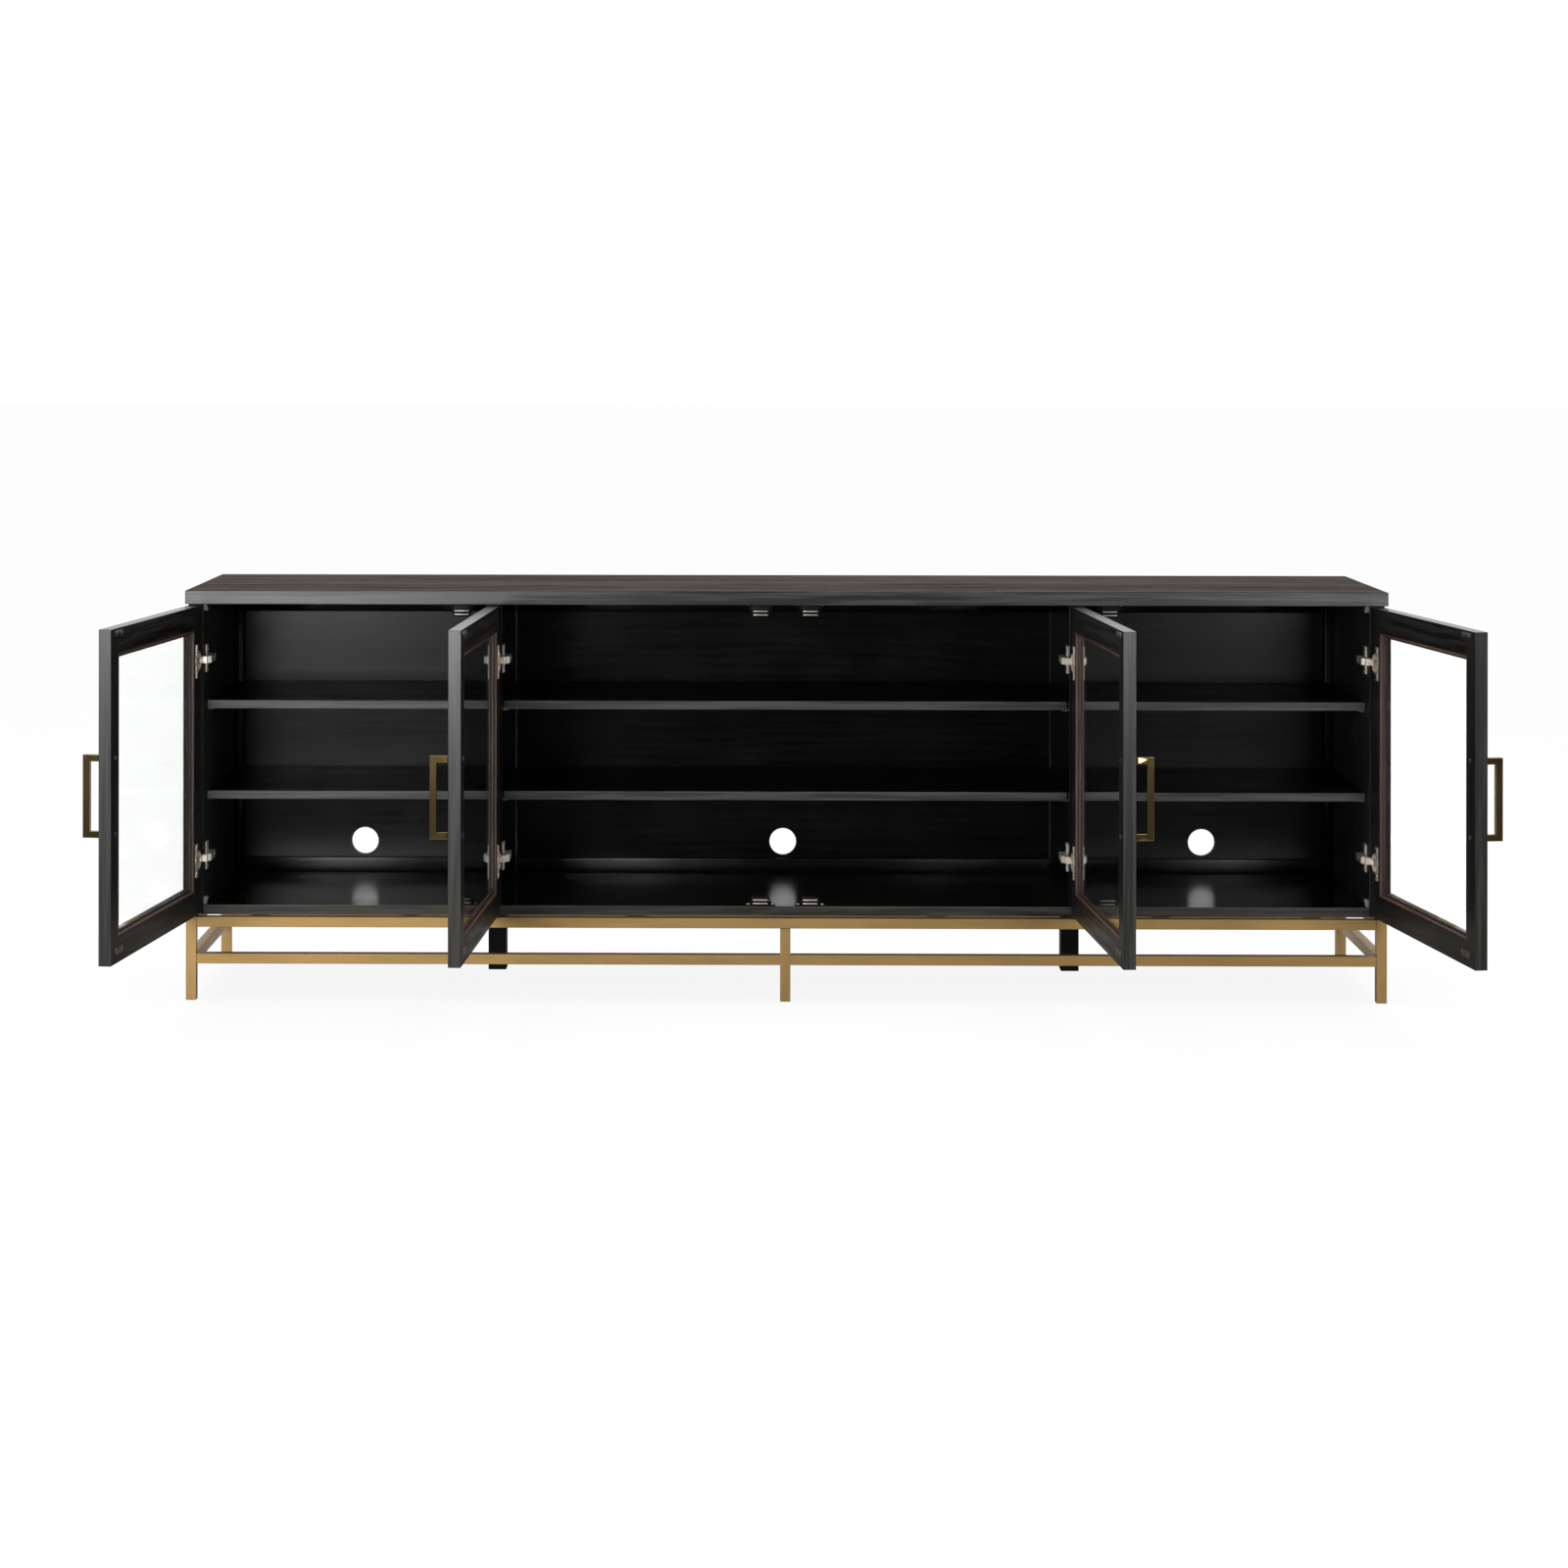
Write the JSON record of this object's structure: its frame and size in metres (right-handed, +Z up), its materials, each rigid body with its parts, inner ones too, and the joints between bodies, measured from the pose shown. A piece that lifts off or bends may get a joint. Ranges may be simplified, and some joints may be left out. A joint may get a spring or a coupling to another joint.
{
  "type": "media cabinet",
  "caption": "Long low media cabinet in dark wire-brushed oak with glazed frame doors on concealed hinges, shelved bays, cable holes and a gold square-tube base.",
  "frame": {"origin": "on the floor, at the middle of the front centre leg's bottom end, on the cabinet's left-right centre plane", "axes": "+X to the right seen from the front, +Y from the front to the back, +Z up"},
  "size_m": [2.4274, 0.9951, 0.762],
  "materials": {
    "dark_oak": "black-brown stained wire-brushed oak veneer, satin lacquer",
    "interior_oak": "black-brown stained oak veneer, smooth satin lacquer",
    "gold_metal": "satin champagne-gold plated steel",
    "polished_brass": "polished brass",
    "nickel": "bright nickel plate",
    "black_wood": "black painted hardwood",
    "clear_glass": "clear tempered glass, 4 mm"
  },
  "bodies": {
    "cabinet": {"front_left_leg": "gold_metal", "front_right_leg": "gold_metal", "rear_left_leg": "gold_metal", "rear_right_leg": "gold_metal", "front_centre_leg": "gold_metal", "front_top_rail": "gold_metal", "rear_top_rail": "gold_metal", "rear_lower_rail": "gold_metal", "front_left_lower_rail": "gold_metal", "front_right_lower_rail": "gold_metal", "left_top_rail": "gold_metal", "right_top_rail": "gold_metal", "left_lower_rail": "gold_metal", "right_lower_rail": "gold_metal", "left_support_leg": "black_wood", "right_support_leg": "black_wood", "top_panel": "dark_oak", "bottom_panel": "dark_oak", "left_side_panel": "dark_oak", "right_side_panel": "dark_oak", "left_partition": "interior_oak", "right_partition": "interior_oak", "left_back_panel": "interior_oak", "centre_back_panel": "interior_oak", "right_back_panel": "interior_oak", "left_upper_shelf": "interior_oak", "right_upper_shelf": "interior_oak", "centre_upper_shelf": "interior_oak", "left_lower_shelf": "interior_oak", "right_lower_shelf": "interior_oak", "centre_lower_shelf": "interior_oak", "left_door_upper_hinge_arm": "nickel", "left_door_lower_hinge_arm": "nickel", "centre_left_door_upper_hinge_arm": "nickel", "centre_left_door_lower_hinge_arm": "nickel", "centre_right_door_upper_hinge_arm": "nickel", "centre_right_door_lower_hinge_arm": "nickel", "right_door_upper_hinge_arm": "nickel", "right_door_lower_hinge_arm": "nickel"},
    "left_door": {"left_door_frame": "dark_oak", "left_door_glass": "clear_glass", "left_door_handle": "polished_brass", "left_door_upper_hinge_cup": "nickel", "left_door_lower_hinge_cup": "nickel"},
    "centre_left_door": {"centre_left_door_frame": "dark_oak", "centre_left_door_glass": "clear_glass", "centre_left_door_handle": "polished_brass", "centre_left_door_upper_hinge_cup": "nickel", "centre_left_door_lower_hinge_cup": "nickel"},
    "centre_right_door": {"centre_right_door_frame": "dark_oak", "centre_right_door_glass": "clear_glass", "centre_right_door_handle": "polished_brass", "centre_right_door_upper_hinge_cup": "nickel", "centre_right_door_lower_hinge_cup": "nickel"},
    "right_door": {"right_door_frame": "dark_oak", "right_door_glass": "clear_glass", "right_door_handle": "polished_brass", "right_door_upper_hinge_cup": "nickel", "right_door_lower_hinge_cup": "nickel"}
  },
  "joints": [
    {"name": "left_door_hinge", "type": "hinge", "parent": "cabinet", "child": "left_door", "pos_m": [-1.1065, -0.0025, 0.4465], "axis": [0, 0, 1], "range_deg": [-13.1, 96.9]},
    {"name": "centre_left_door_hinge", "type": "hinge", "parent": "cabinet", "child": "centre_left_door", "pos_m": [-0.5485, -0.0025, 0.4465], "axis": [0, 0, 1], "range_deg": [-17.2, 92.8]},
    {"name": "centre_right_door_hinge", "type": "hinge", "parent": "cabinet", "child": "centre_right_door", "pos_m": [0.5485, -0.0025, 0.4465], "axis": [0, 0, -1], "range_deg": [-16.3, 93.7]},
    {"name": "right_door_hinge", "type": "hinge", "parent": "cabinet", "child": "right_door", "pos_m": [1.1065, -0.0025, 0.4465], "axis": [0, 0, -1], "range_deg": [-12.2, 97.8]}
  ]
}
